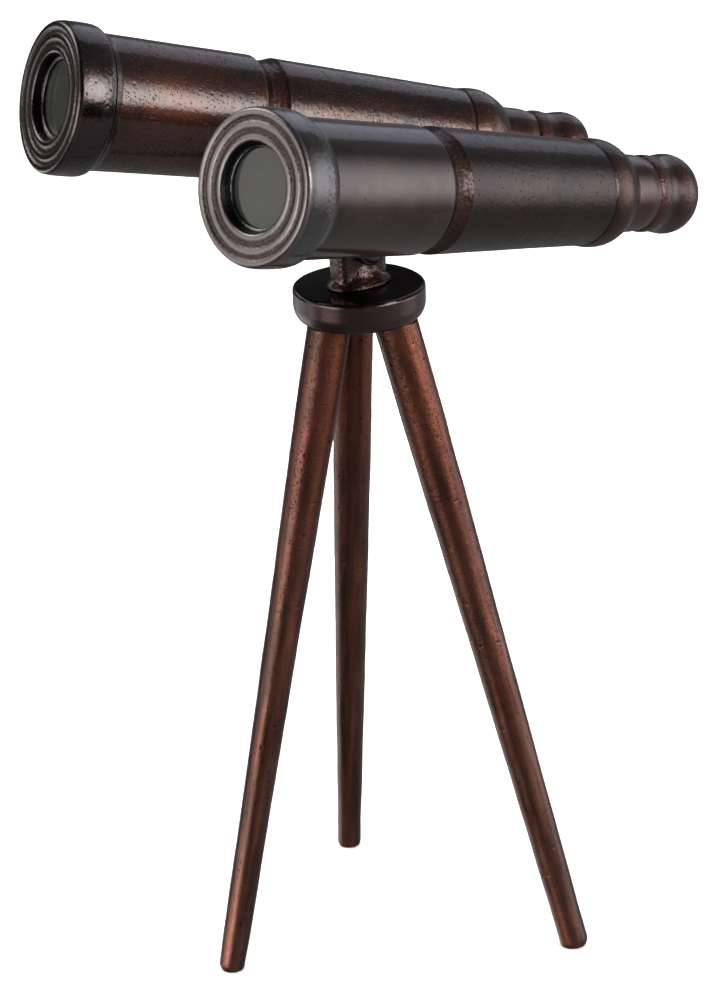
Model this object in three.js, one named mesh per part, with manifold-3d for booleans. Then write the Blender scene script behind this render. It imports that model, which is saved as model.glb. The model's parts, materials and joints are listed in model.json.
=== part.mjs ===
// Tabletop tripod binoculars: two tapered cast barrels on a tilting, turning head, on three fixed legs.
// Millimetres, +Z up. The objectives look towards -Y, the eyepieces towards +Y.
// "Left" is the left hand of a person behind the eyepieces, which is the +X side.
import * as THREE from 'three';
import { mergeVertices } from 'three/addons/utils/BufferGeometryUtils.js';
import Module from 'manifold-3d';

const wasm = await Module();
wasm.setup();

// ---------- driving dimensions ----------
const GAP = 0.3;                    // clearance between neighbouring pieces
const SIDE_GAP = 0.2;               // clearance across the tilt joint, on each side of a washer
const ROUND = 28;                   // sides of the large turned pieces
const SMALL_ROUND = 16;             // sides of screws, pins and bores

const DISC_TOP = 357;               // height of the tripod disc's top face
const DISC_THICKNESS = 17;
const DISC_RADIUS = 34;

// Each leg: compass angle from +X, radius of its axis at the disc and at the floor, and its end radii.
const LEGS = [
  { name: 'front', azimuth: 270, topOffset: 18.5, footOffset: 98, topRadius: 11.2, footRadius: 6.7 },
  { name: 'rear_left', azimuth: 34, topOffset: 19, footOffset: 106.5, topRadius: 11.4, footRadius: 7.3 },
  { name: 'rear_right', azimuth: 158, topOffset: 17.5, footOffset: 100, topRadius: 10.8, footRadius: 6.2 },
];
const FOOT_ROUNDING = 2.4;
const STUD_RADIUS = 3;
const STUD_IN_DISC = 10;
const STUD_IN_LEG = 14;

const BOLT_RADIUS = 3;              // pan bolt and tilt bolt
const PAN_RECESS_RADIUS = 7;        // pocket for the pan bolt's head, under the disc
const PAN_RECESS_DEPTH = 6;
const PAN_HEAD_LIFT = 0.6;          // bolt head above the disc's underside
const PAN_HEAD_THICKNESS = 4;
const HEX_RADIUS = 5.6;             // corners of the bolt head and of the nut
const NUT_THICKNESS = 4;
const SADDLE_PIN_RADIUS = 1.6;
const SADDLE_PIN_OFFSET = 31.5;     // centre plane to each pin
const SADDLE_SCREW_RADIUS = 1.7;
const PIVOT_HEIGHT = 376.5;         // tilt axis above the floor
const BLOCK_HALF_THICKNESS = 7.4;   // post block, across the tilt axis
const BLOCK_HALF_WIDTH = 14.4;      // post block, front to back
const BLOCK_CORNER = 4.5;
const POST_FOOT_RADIUS = 18.2;      // flared foot, front to back
const POST_FOOT_NARROWING = 0.69;   // the same foot across the tilt axis, as a share of it
const FRICTION_WASHER_RADIUS = 11;
const BOLT_WASHER_RADIUS = 6.4;
const TILT_WASHER_RADIUS = 6;
const WASHER_THICKNESS = 0.8;
const STRAP_THICKNESS = 5;          // fork straps of the bridge
const STRAP_RADIUS = 6.5;
const CROSSBAR_RADIUS = 8;
const CROSSBAR_RISE = 35;           // crossbar above the tilt axis
const CROSSBAR_HALF_LENGTH = 36;

const POST_AHEAD_OF_CENTRE = 20.8;  // post axis ahead of the bounding box's centre
const REST_TILT = 15.5;             // degrees that the objectives point up at rest
const SPLAY = 9.6;                  // degrees that each barrel turns outward from the centre plane
const FACE_HALF_SPACING = 95.1;     // centre plane to the centre of an objective face
const FACE_FORWARD = 137.9;         // tilt axis to the objective faces, along the barrels
const AXIS_RISE = 47.7;             // tilt axis up to the plane of the barrel axes

// Stations along a barrel, from the objective face, and radii there.
const RIM_RADIUS = 39.5;
const RIM_LENGTH = 21.5;
const LENS_OPENING_RADIUS = 21.8;
const LENS_RECESS = 6.5;
const LENS_SEAT_RADIUS = 27;
const LENS_THICKNESS = 3;
const RIM_WEB_END = 14;
const TUBE_WALL = 3;
const FRONT_TUBE_END = 109.5;
const FRONT_TUBE_START_RADIUS = 35.4;
const FRONT_TUBE_END_RADIUS = 32.5;
const GROOVE_END = 116.5;
const GROOVE_RADIUS = 30.2;
const SPIGOT_START = 94;
const SPIGOT_RADIUS = 29.2;
const REAR_SHOULDER = 121.8;
const REAR_TUBE_START_RADIUS = 32;
const REAR_BEAD_START = 230;
const REAR_TUBE_END_RADIUS = 27;
const REAR_BEAD_RADIUS = 28;
const REAR_TUBE_END = 254;
const DRAW_TUBE_RADIUS = 20;
const DRAW_TUBE_START = 204;
const GUIDE_SEAT_RADIUS = 23.5;
const CUP_START = 270.8;
const CUP_RADIUS = 20.9;
const CUP_JOINT_RADIUS = 15.2;
const BARREL_LENGTH = 304.8;
const EYE_LENS_RADIUS = 12;

const SADDLE_ANGLE = 24;            // degrees that a saddle sits below the barrel's inner side
const SADDLE_CENTRE = 140;
const SADDLE_LENGTH = 34;
const SADDLE_WIDTH = 26;
const SADDLE_THICKNESS = 4.5;
const SADDLE_SCREW_STATIONS = [128, 152];

// ---------- finishes ----------
const finish = (color, roughness, metalness) =>
  new THREE.MeshStandardMaterial({ color, roughness, metalness });
const bronze = () => finish(0x3a2a28, 0.35, 0.85);
const legBronze = () => finish(0x4a2a20, 0.4, 0.8);
const blackLacquer = () => finish(0x15131a, 0.15, 0.6);
const brass = () => finish(0xa07a3c, 0.35, 1);
const steel = () => finish(0x8a8a8c, 0.4, 1);
const cork = () => finish(0x8a6a48, 0.9, 0);
const glass = () => finish(0x4a4a48, 0.05, 0.1);

// ---------- geometry helpers ----------
const radians = THREE.MathUtils.degToRad;
const taperRadius = (station, start, startRadius, end, endRadius) =>
  startRadius + (endRadius - startRadius) * (station - start) / (end - start);

// Closed solid of a geometry: shared vertices merged, slivers dropped, faces turned outward.
function solid(geometry) {
  const bare = geometry.clone();
  bare.deleteAttribute('normal');
  bare.deleteAttribute('uv');
  const merged = mergeVertices(bare, 1e-4);
  const position = merged.attributes.position;
  const triangles = [];
  let volume = 0;
  const [a, b, c] = [new THREE.Vector3(), new THREE.Vector3(), new THREE.Vector3()];
  for (let i = 0; i < merged.index.count; i += 3) {
    const [p, q, r] = [merged.index.getX(i), merged.index.getX(i + 1), merged.index.getX(i + 2)];
    if (p === q || q === r || r === p) continue;
    volume += a.fromBufferAttribute(position, p).dot(
      b.fromBufferAttribute(position, q).cross(c.fromBufferAttribute(position, r)));
    triangles.push([p, q, r]);
  }
  const ordered = triangles.map(([p, q, r]) => (volume < 0 ? [p, r, q] : [p, q, r]));
  return new wasm.Manifold(new wasm.Mesh({
    numProp: 3,
    vertProperties: new Float32Array(position.array),
    triVerts: new Uint32Array(ordered.flat()),
  }));
}

function meshOf(name, body, material) {
  const { vertProperties, triVerts } = body.getMesh();
  const geometry = new THREE.BufferGeometry();
  geometry.setAttribute('position', new THREE.BufferAttribute(new Float32Array(vertProperties), 3));
  geometry.setIndex(new THREE.BufferAttribute(new Uint32Array(triVerts), 1));
  geometry.computeVertexNormals();
  const mesh = new THREE.Mesh(geometry, material);
  mesh.name = name;
  return mesh;
}

// Body of revolution about +Z from [radius, height] points, closed back to its first point if it has a bore.
function turned(points, sides = ROUND) {
  const closes = points[0][0] > 0;
  const outline = (closes ? [...points, points[0]] : points).map(([r, z]) => new THREE.Vector2(r, z));
  return new THREE.LatheGeometry(outline, sides).rotateX(Math.PI / 2);
}

const rod = (radius, low, high, sides = SMALL_ROUND) =>
  turned([[0, low], [radius, low], [radius, high], [0, high]], sides);
const ring = (outer, inner, low, high, sides = ROUND) =>
  turned([[inner, low], [outer, low], [outer, high], [inner, high]], sides);
const alongX = (geometry) => geometry.rotateY(Math.PI / 2);
const box = (size, centre) => new THREE.BoxGeometry(...size).translate(...centre);

function roundedRectangle(halfX, halfY, corner) {
  const shape = new THREE.Shape();
  shape.absarc(halfX - corner, halfY - corner, corner, 0, Math.PI / 2);
  shape.absarc(corner - halfX, halfY - corner, corner, Math.PI / 2, Math.PI);
  shape.absarc(corner - halfX, corner - halfY, corner, Math.PI, 1.5 * Math.PI);
  shape.absarc(halfX - corner, corner - halfY, corner, 1.5 * Math.PI, 2 * Math.PI);
  return shape;
}

// ---------- tripod: disc, legs and their studs ----------
const discBottom = DISC_TOP - DISC_THICKNESS;

// Placement with +Z along a leg, from its foot on the floor up to the disc's underside.
function legFrame(leg) {
  const angle = radians(leg.azimuth);
  const outward = new THREE.Vector3(Math.cos(angle), Math.sin(angle), 0);
  const foot = outward.clone().multiplyScalar(leg.footOffset);
  const top = outward.clone().multiplyScalar(leg.topOffset).setZ(discBottom);
  const turn = new THREE.Quaternion().setFromUnitVectors(
    new THREE.Vector3(0, 0, 1), top.clone().sub(foot).normalize());
  return {
    length: top.distanceTo(foot),
    matrix: new THREE.Matrix4().compose(foot, turn, new THREE.Vector3(1, 1, 1)),
  };
}

function legPiece(leg) {
  const { length, matrix } = legFrame(leg);
  const past = 8;                   // spare length that the floor and disc planes trim off
  const low = -1.5;
  const rounding = [0, 1, 2, 3].map((step) => {
    const angle = step * Math.PI / 6;
    return [
      leg.footRadius - FOOT_ROUNDING * (1 - Math.sin(angle)),
      low + FOOT_ROUNDING * (1 - Math.cos(angle)),
    ];
  });
  const body = turned([[0, low], ...rounding, [leg.topRadius, length], [leg.topRadius, length + past],
    [0, length + past]]);
  const bore = rod(STUD_RADIUS + GAP, length - STUD_IN_LEG, length + past + 1);
  const floor = box([400, 400, 40], [0, 0, -20]);
  const disc = box([400, 400, 60], [0, 0, discBottom - GAP + 30]);
  return solid(body.applyMatrix4(matrix))
    .subtract(solid(bore.applyMatrix4(matrix)))
    .subtract(solid(floor))
    .subtract(solid(disc));
}

function studPiece(leg, clearance = 0) {
  const { length, matrix } = legFrame(leg);
  const low = length - STUD_IN_LEG + 1;
  return solid(rod(STUD_RADIUS + clearance, low, length + STUD_IN_DISC + clearance).applyMatrix4(matrix));
}

function discPiece() {
  const bore = BOLT_RADIUS + GAP;
  let body = solid(turned([
    [PAN_RECESS_RADIUS, discBottom], [DISC_RADIUS - 3.4, discBottom], [DISC_RADIUS - 1.1, discBottom + 1.6],
    [DISC_RADIUS, discBottom + 5], [DISC_RADIUS, DISC_TOP - 1], [DISC_RADIUS - 0.8, DISC_TOP],
    [bore, DISC_TOP], [bore, discBottom + PAN_RECESS_DEPTH], [PAN_RECESS_RADIUS, discBottom + PAN_RECESS_DEPTH],
  ], 36));
  for (const leg of LEGS) body = body.subtract(studPiece(leg, GAP));
  return body;
}

const tripod = new THREE.Group();
tripod.add(meshOf('tripod_disc', discPiece(), blackLacquer()));
for (const leg of LEGS) {
  tripod.add(meshOf(`leg_${leg.name}`, legPiece(leg), legBronze()));
  tripod.add(meshOf(`leg_stud_${leg.name}`, studPiece(leg), steel()));
}

// ---------- swivel: post block on the disc, with its pan bolt from below ----------
const postBottom = DISC_TOP + GAP;
const frictionWasherTop = DISC_TOP + GAP + WASHER_THICKNESS;
const panBoltTop = PIVOT_HEIGHT - 7;

// Column with a rounded crown, on a flared foot that hides the friction washer in a pocket.
function postPiece() {
  const foot = turned([
    [0, postBottom], [POST_FOOT_RADIUS, postBottom], [POST_FOOT_RADIUS - 0.4, postBottom + 1.4],
    [POST_FOOT_RADIUS - 2, postBottom + 3.2], [POST_FOOT_RADIUS - 4.4, postBottom + 6],
    [POST_FOOT_RADIUS - 7.5, postBottom + 12], [0, postBottom + 12],
  ], 32).scale(POST_FOOT_NARROWING, 1, 1);
  const outline = roundedRectangle(BLOCK_HALF_THICKNESS, BLOCK_HALF_WIDTH, BLOCK_CORNER);
  const column = new THREE.ExtrudeGeometry(outline, {
    depth: PIVOT_HEIGHT + BLOCK_HALF_WIDTH + 2 - postBottom, bevelEnabled: false, curveSegments: 4,
  }).translate(0, 0, postBottom);
  const crown = alongX(rod(BLOCK_HALF_WIDTH, -20, 20, 32)).translate(0, 0, PIVOT_HEIGHT);
  const below = box([60, 60, PIVOT_HEIGHT - postBottom], [0, 0, (PIVOT_HEIGHT + postBottom) / 2]);
  const tiltBore = alongX(rod(BOLT_RADIUS + GAP, -20, 20)).translate(0, 0, PIVOT_HEIGHT);
  const panBore = rod(BOLT_RADIUS + GAP, postBottom - 1, panBoltTop + 1);
  const washerPocket = rod(FRICTION_WASHER_RADIUS + GAP, postBottom - 1, frictionWasherTop + GAP, ROUND);
  return solid(column).intersect(solid(crown).add(solid(below)))
    .add(solid(foot))
    .subtract(solid(tiltBore))
    .subtract(solid(panBore))
    .subtract(solid(washerPocket));
}

function panBoltPiece() {
  const headLow = discBottom + PAN_HEAD_LIFT;
  const head = rod(HEX_RADIUS, headLow, headLow + PAN_HEAD_THICKNESS, 6);
  const shank = rod(BOLT_RADIUS, headLow + 1, panBoltTop);
  return solid(head).add(solid(shank));
}

const panWasherLow = discBottom + PAN_HEAD_LIFT + PAN_HEAD_THICKNESS + GAP;
const swivel = new THREE.Group();
swivel.add(meshOf('post', postPiece(), bronze()));
swivel.add(meshOf('pan_bolt', panBoltPiece(), steel()));
swivel.add(meshOf('pan_bolt_washer',
  solid(ring(BOLT_WASHER_RADIUS, BOLT_RADIUS + GAP, panWasherLow, panWasherLow + WASHER_THICKNESS,
    SMALL_ROUND)), steel()));
swivel.add(meshOf('pan_friction_washer',
  solid(ring(FRICTION_WASHER_RADIUS, BOLT_RADIUS + GAP, DISC_TOP + GAP, frictionWasherTop)), brass()));

// ---------- head: everything that tilts, in a frame with its origin on the tilt axis ----------
const head = new THREE.Group();
head.position.z = PIVOT_HEIGHT;
head.rotation.x = -radians(REST_TILT);

const strapInner = BLOCK_HALF_THICKNESS + 2 * SIDE_GAP + WASHER_THICKNESS;
const strapOuter = strapInner + STRAP_THICKNESS;

function bridgePiece() {
  const outline = new THREE.Shape();
  outline.absarc(0, 0, STRAP_RADIUS, Math.PI, 2 * Math.PI);
  outline.absarc(0, CROSSBAR_RISE, CROSSBAR_RADIUS, 0, Math.PI);
  const strap = (low) => new THREE.ExtrudeGeometry(outline, {
    depth: STRAP_THICKNESS, bevelEnabled: false, curveSegments: 8,
  }).rotateX(Math.PI / 2).rotateZ(Math.PI / 2).translate(low, 0, 0);
  const bar = alongX(rod(CROSSBAR_RADIUS, -CROSSBAR_HALF_LENGTH, CROSSBAR_HALF_LENGTH, 20))
    .translate(0, 0, CROSSBAR_RISE);
  const web = box([2 * strapInner + 2, 8, CROSSBAR_RISE - 20], [0, 0, (CROSSBAR_RISE + 20) / 2]);
  const bolt = alongX(rod(BOLT_RADIUS + GAP, -30, 30));
  let body = solid(strap(strapInner)).add(solid(strap(-strapOuter))).add(solid(bar)).add(solid(web));
  body = body.subtract(solid(bolt));
  for (const side of [1, -1]) body = body.subtract(crossPinPiece(side, GAP));
  return body;
}

// Vertical pin that locks a saddle's socket on the crossbar.
function crossPinPiece(side, clearance = 0) {
  const half = clearance > 0 ? 13 : 10;
  return solid(rod(SADDLE_PIN_RADIUS + clearance, CROSSBAR_RISE - half, CROSSBAR_RISE + half)
    .translate(side * SADDLE_PIN_OFFSET, 0, 0));
}

function tiltBoltPiece() {
  const low = -strapOuter - GAP - NUT_THICKNESS - 1.2;
  const shank = alongX(rod(BOLT_RADIUS, low, strapOuter + GAP + 1));
  const dome = alongX(turned([[0, 0], [4.6, 0], [4.4, 1.2], [3, 2.2], [0, 2.6]], 20)
    .translate(0, 0, strapOuter + GAP));
  return solid(shank).add(solid(dome));
}

function tiltNutPiece() {
  const face = -strapOuter - GAP;
  return solid(alongX(rod(HEX_RADIUS, face - NUT_THICKNESS, face, 6)))
    .subtract(solid(alongX(rod(BOLT_RADIUS + GAP, -40, 0))));
}

head.add(meshOf('bridge', bridgePiece(), bronze()));
head.add(meshOf('tilt_bolt', tiltBoltPiece(), steel()));
head.add(meshOf('tilt_nut', tiltNutPiece(), steel()));

// ---------- barrels: profiles of revolution about +Z, from the objective face towards the eye ----------
const frontTubeRadius = (station) =>
  taperRadius(station, RIM_LENGTH, FRONT_TUBE_START_RADIUS, FRONT_TUBE_END, FRONT_TUBE_END_RADIUS);
const rearTubeRadius = (station) =>
  taperRadius(station, REAR_SHOULDER, REAR_TUBE_START_RADIUS, REAR_BEAD_START, REAR_TUBE_END_RADIUS);

const rimBore = FRONT_TUBE_START_RADIUS + GAP;
const rimProfile = [
  [LENS_OPENING_RADIUS, LENS_RECESS - GAP], [LENS_OPENING_RADIUS, 2.4], [24, 0.5], [25.6, 1.8], [28.2, 1.9],
  [29.4, 0.5], [32.2, 0.4], [33.2, 1.7], [35.4, 1.5], [36, 0], [38.4, 0],
  [RIM_RADIUS - 0.4, 1], [RIM_RADIUS, 9], [RIM_RADIUS - 0.3, RIM_LENGTH - 4], [RIM_RADIUS - 1.6, RIM_LENGTH - 0.8],
  [rimBore + 0.4, RIM_LENGTH], [rimBore, RIM_LENGTH], [rimBore, RIM_WEB_END],
  [LENS_SEAT_RADIUS, RIM_WEB_END], [LENS_SEAT_RADIUS, LENS_RECESS - GAP],
];
const frontTubeProfile = [
  [frontTubeRadius(RIM_LENGTH), RIM_WEB_END + GAP], [frontTubeRadius(RIM_LENGTH), RIM_LENGTH],
  [frontTubeRadius(FRONT_TUBE_END - 1.4), FRONT_TUBE_END - 1.4], [FRONT_TUBE_END_RADIUS - 0.9, FRONT_TUBE_END],
  [SPIGOT_RADIUS + GAP, FRONT_TUBE_END], [SPIGOT_RADIUS + GAP, SPIGOT_START - 4],
  [frontTubeRadius(RIM_LENGTH) - TUBE_WALL, RIM_LENGTH + 10],
  [frontTubeRadius(RIM_LENGTH) - TUBE_WALL, RIM_WEB_END + GAP],
];
const rearTubeProfile = [
  [SPIGOT_RADIUS, SPIGOT_START], [SPIGOT_RADIUS, FRONT_TUBE_END + GAP], [GROOVE_RADIUS, FRONT_TUBE_END + GAP],
  [GROOVE_RADIUS, GROOVE_END], [REAR_TUBE_START_RADIUS - 0.5, REAR_SHOULDER - 1.2],
  [REAR_TUBE_START_RADIUS, REAR_SHOULDER], [REAR_TUBE_END_RADIUS, REAR_BEAD_START],
  [REAR_BEAD_RADIUS, REAR_BEAD_START + 4], [REAR_BEAD_RADIUS, 240], [REAR_BEAD_RADIUS - 1.4, 246],
  [REAR_BEAD_RADIUS - 4.4, 251.4], [21.4, REAR_TUBE_END],
  [DRAW_TUBE_RADIUS + GAP, REAR_TUBE_END], [DRAW_TUBE_RADIUS + GAP, REAR_TUBE_END - 9],
  [GUIDE_SEAT_RADIUS, REAR_TUBE_END - 9], [GUIDE_SEAT_RADIUS, 196],
  [REAR_TUBE_START_RADIUS - TUBE_WALL - 1, REAR_SHOULDER + 34],
  [SPIGOT_RADIUS - TUBE_WALL, SPIGOT_START + 6], [SPIGOT_RADIUS - TUBE_WALL, SPIGOT_START],
];
const drawTubeProfile = [
  [DRAW_TUBE_RADIUS, DRAW_TUBE_START], [DRAW_TUBE_RADIUS, 256.5], [19.2, 260], [18.6, 265], [18.7, 269],
  [18, CUP_START - GAP], [CUP_JOINT_RADIUS, CUP_START - GAP], [CUP_JOINT_RADIUS, CUP_START + 11],
  [CUP_JOINT_RADIUS - 2.2, CUP_START + 11], [CUP_JOINT_RADIUS - 2.2, CUP_START - 6],
  [DRAW_TUBE_RADIUS - 3, CUP_START - 12], [DRAW_TUBE_RADIUS - 3, DRAW_TUBE_START],
];
const eyecupProfile = [
  [CUP_JOINT_RADIUS + GAP, CUP_START], [18, CUP_START], [19.8, 274], [19.9, 277.5], [19.1, 283],
  [CUP_RADIUS - 0.3, 290], [CUP_RADIUS, 293.5], [CUP_RADIUS - 1.4, 299], [CUP_RADIUS - 4.4, 303],
  [13.4, BARREL_LENGTH], [8.6, 299], [8.6, 292], [EYE_LENS_RADIUS + GAP, 292],
  [EYE_LENS_RADIUS + GAP, CUP_START + 12], [CUP_JOINT_RADIUS + GAP, CUP_START + 12],
];

// The eyepiece lens is thick at its edge and hollowed on both faces, as in a field glass.
const eyeLensProfile = [
  [0, 289.6], [6, 289.2], [EYE_LENS_RADIUS, 288.4], [EYE_LENS_RADIUS, 291.7], [6, 290.9], [0, 290.6],
];

function barrelMatrix(side) {
  const along = new THREE.Vector3(-side * Math.sin(radians(SPLAY)), Math.cos(radians(SPLAY)), 0);
  const up = new THREE.Vector3(0, 0, 1);
  const across = new THREE.Vector3().crossVectors(up, along);
  return new THREE.Matrix4().makeBasis(across, up, along)
    .setPosition(side * FACE_HALF_SPACING, -FACE_FORWARD, AXIS_RISE);
}

// Radial placement in a barrel's own frame: +Z points from the axis out to the saddle, at a station.
function saddleDirection(side, station) {
  const below = radians(SADDLE_ANGLE);
  return new THREE.Matrix4().makeTranslation(0, 0, station)
    .multiply(new THREE.Matrix4().makeRotationZ(side > 0 ? -below : Math.PI + below))
    .multiply(new THREE.Matrix4().makeRotationY(Math.PI / 2));
}

const saddleMatrix = (side, station) => barrelMatrix(side).multiply(saddleDirection(side, station));
const tubeInnerRadius = (station) => taperRadius(station, SPIGOT_START + 6, SPIGOT_RADIUS - TUBE_WALL,
  REAR_SHOULDER + 34, REAR_TUBE_START_RADIUS - TUBE_WALL - 1);
const screwSeat = (station) => tubeInnerRadius(station) - 0.7;

function screwShank(matrix, station, clearance = 0) {
  const tip = rearTubeRadius(station) + SADDLE_THICKNESS - 1.6 + clearance;
  return solid(rod(SADDLE_SCREW_RADIUS + clearance, screwSeat(station) - 1, tip, 12).applyMatrix4(matrix));
}

function saddleScrewPiece(side, station) {
  const matrix = saddleMatrix(side, station);
  const cap = rod(2 * SADDLE_SCREW_RADIUS, screwSeat(station) - 2, screwSeat(station), 12);
  return screwShank(matrix, station).add(solid(cap.applyMatrix4(matrix)));
}

function saddlePiece(side) {
  const bevel = 1.5;
  const depth = 12;
  const padTop = rearTubeRadius(SADDLE_CENTRE) + SADDLE_THICKNESS;
  const padOutline = roundedRectangle(SADDLE_LENGTH / 2 - bevel, SADDLE_WIDTH / 2 - bevel, 6);
  const pad = new THREE.ExtrudeGeometry(padOutline, {
    depth, bevelThickness: bevel, bevelSize: bevel, bevelSegments: 1, curveSegments: 4,
  }).translate(0, 0, padTop - depth - bevel).applyMatrix4(saddleMatrix(side, SADDLE_CENTRE));
  const boss = alongX(rod(11, 27, 54, 20)).translate(0, 0, CROSSBAR_RISE);
  const socket = alongX(rod(CROSSBAR_RADIUS + GAP, 20, CROSSBAR_HALF_LENGTH + GAP, 20))
    .translate(0, 0, CROSSBAR_RISE);
  if (side < 0) for (const piece of [boss, socket]) piece.rotateZ(Math.PI);
  const tube = turned([[0, 60], [FRONT_TUBE_END_RADIUS + 1, 60], [FRONT_TUBE_END_RADIUS + 1, REAR_SHOULDER - 3],
    [rearTubeRadius(REAR_SHOULDER) + GAP, REAR_SHOULDER], [rearTubeRadius(200) + GAP, 200], [0, 200]], 40);
  let body = solid(pad).add(solid(boss)).subtract(solid(tube.applyMatrix4(barrelMatrix(side))));
  body = body.subtract(solid(socket)).subtract(crossPinPiece(side, GAP));
  for (const station of SADDLE_SCREW_STATIONS) {
    body = body.subtract(screwShank(saddleMatrix(side, station), station, GAP));
  }
  return body;
}

function rearTubePiece(side) {
  let body = solid(turned(rearTubeProfile));
  for (const station of SADDLE_SCREW_STATIONS) {
    body = body.subtract(screwShank(saddleDirection(side, station), station, GAP));
  }
  return body;
}

for (const [hand, side] of [['left', 1], ['right', -1]]) {
  const washerLow = BLOCK_HALF_THICKNESS + SIDE_GAP;
  head.add(meshOf(`${hand}_tilt_washer`, solid(alongX(
    ring(TILT_WASHER_RADIUS, BOLT_RADIUS + GAP, washerLow, washerLow + WASHER_THICKNESS, SMALL_ROUND))
    .scale(side, 1, 1)), brass()));
  head.add(meshOf(`${hand}_saddle`, saddlePiece(side), bronze()));
  head.add(meshOf(`${hand}_saddle_pin`, crossPinPiece(side), steel()));
  SADDLE_SCREW_STATIONS.forEach((station, index) => {
    head.add(meshOf(`${hand}_saddle_screw_${index + 1}`, saddleScrewPiece(side, station), steel()));
  });

  const barrel = new THREE.Group();
  barrelMatrix(side).decompose(barrel.position, barrel.quaternion, barrel.scale);
  const lensBack = LENS_RECESS + LENS_THICKNESS;
  const pieces = [
    ['objective_rim', solid(turned(rimProfile, 32)), bronze()],
    ['objective_glass', solid(rod(LENS_SEAT_RADIUS - GAP, LENS_RECESS, lensBack, ROUND)), glass()],
    ['objective_retainer', solid(ring(LENS_SEAT_RADIUS - GAP, LENS_OPENING_RADIUS + 0.8, lensBack + GAP,
      lensBack + GAP + 2.6)), brass()],
    ['front_tube', solid(turned(frontTubeProfile)), bronze()],
    ['rear_tube', rearTubePiece(side), bronze()],
    ['guide_ring', solid(ring(GUIDE_SEAT_RADIUS - GAP, DRAW_TUBE_RADIUS + GAP, 222, 234)), cork()],
    ['draw_tube', solid(turned(drawTubeProfile)), bronze()],
    ['eyecup', solid(turned(eyecupProfile)), bronze()],
    ['eye_lens', solid(turned(eyeLensProfile, 20)), glass()],
    ['eye_lens_ring', solid(ring(EYE_LENS_RADIUS, EYE_LENS_RADIUS - 2.4, 284.6, 288, 20)), brass()],
  ];
  for (const [name, body, material] of pieces) barrel.add(meshOf(`${hand}_${name}`, body, material));
  head.add(barrel);
}

// ---------- whole object, with its origin on the floor under the centre of its bounding box ----------
const binoculars = new THREE.Group();
binoculars.add(tripod, swivel, head);
binoculars.position.y = -POST_AHEAD_OF_CENTRE;

export default binoculars;
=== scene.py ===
import json
import math

import bpy
import numpy as np
from mathutils import Matrix, Vector

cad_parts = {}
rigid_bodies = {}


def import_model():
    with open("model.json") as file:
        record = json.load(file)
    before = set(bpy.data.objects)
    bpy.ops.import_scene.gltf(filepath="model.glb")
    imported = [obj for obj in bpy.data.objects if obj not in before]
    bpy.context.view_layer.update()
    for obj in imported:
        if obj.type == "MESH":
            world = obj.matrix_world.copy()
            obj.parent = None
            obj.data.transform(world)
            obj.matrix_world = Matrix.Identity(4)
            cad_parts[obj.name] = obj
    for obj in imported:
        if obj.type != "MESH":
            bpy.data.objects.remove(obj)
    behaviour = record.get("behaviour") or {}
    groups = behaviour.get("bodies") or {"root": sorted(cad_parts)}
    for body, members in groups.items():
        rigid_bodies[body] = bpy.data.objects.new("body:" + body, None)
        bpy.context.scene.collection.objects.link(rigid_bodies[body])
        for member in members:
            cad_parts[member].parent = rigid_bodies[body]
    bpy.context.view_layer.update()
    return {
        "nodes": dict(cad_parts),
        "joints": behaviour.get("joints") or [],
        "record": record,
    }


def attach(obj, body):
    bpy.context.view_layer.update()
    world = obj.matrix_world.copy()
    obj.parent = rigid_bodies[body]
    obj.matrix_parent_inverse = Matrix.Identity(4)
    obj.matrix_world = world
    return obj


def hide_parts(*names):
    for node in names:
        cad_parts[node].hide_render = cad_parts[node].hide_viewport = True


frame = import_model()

# Tabletop tripod binoculars in dark cast bronze. Lengths are millimetres until a mesh is written.
# Every turned piece is drawn on the axis that its CAD node gives, in stations along that axis.
MM = 0.001
HANDS = ("left", "right")
LEG_NAMES = ("front", "rear_left", "rear_right")

# ---------- camera ----------
CAMERA_TARGET = (-0.0132, -0.0179, 0.2365)
CAMERA_DISTANCE = 3.2546
CAMERA_AZIMUTH = -32.73      # degrees from +X towards +Y
CAMERA_ELEVATION = 21.29
CAMERA_ROLL = 2.60           # degrees that the view leans clockwise
CAMERA_LENS = 228.19         # on a 36 mm sensor along the tall side
SENSOR = 36.0


def unit(vector):
    vector = np.asarray(vector, float)
    return vector / np.linalg.norm(vector)


# ---------- reading the frame ----------
def node_points(name):
    """Vertices of a CAD node, in millimetres."""
    mesh = frame["nodes"][name].data
    flat = np.empty(len(mesh.vertices) * 3, np.float32)
    mesh.vertices.foreach_get("co", flat)
    return flat.reshape(-1, 3).astype(float) / MM


def node_body(name):
    return frame["nodes"][name].parent.name.split(":", 1)[1]


class Axis:
    """A turned piece's own frame: x and y across it, z along it from an origin."""

    def __init__(self, origin, along, up=(0, 0, 1)):
        self.origin = np.asarray(origin, float)
        self.along = unit(along)
        self.across = unit(np.cross(up, self.along))
        self.up = np.cross(self.along, self.across)

    def basis(self):
        return np.array([self.across, self.up, self.along])

    def to_row(self, local):
        return self.origin + local @ self.basis()

    def to_local(self, points):
        return (points - self.origin) @ self.basis().T

    def span(self, node):
        """(first station, last station, largest radius) of a CAD node on this axis."""
        local = self.to_local(node_points(node))
        radius = np.hypot(local[:, 0], local[:, 1])
        return local[:, 2].min(), local[:, 2].max(), radius.max()


def joint(name):
    return next(j for j in frame["joints"] if j["name"] == name)


def mount_point(name):
    mounts = frame["record"]["mounts"]
    return np.array(next(m["pos_m"] for m in mounts if m["name"] == name)) / MM


def barrel_axis(hand):
    """Along the barrel from the centre of its objective face towards the eye."""
    axis = Axis(node_points(f"{hand}_objective_glass").mean(axis=0), joint(f"{hand}_focus")["axis"])
    axis.origin = axis.origin + axis.along * axis.span(f"{hand}_objective_rim")[0]
    return axis


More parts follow.
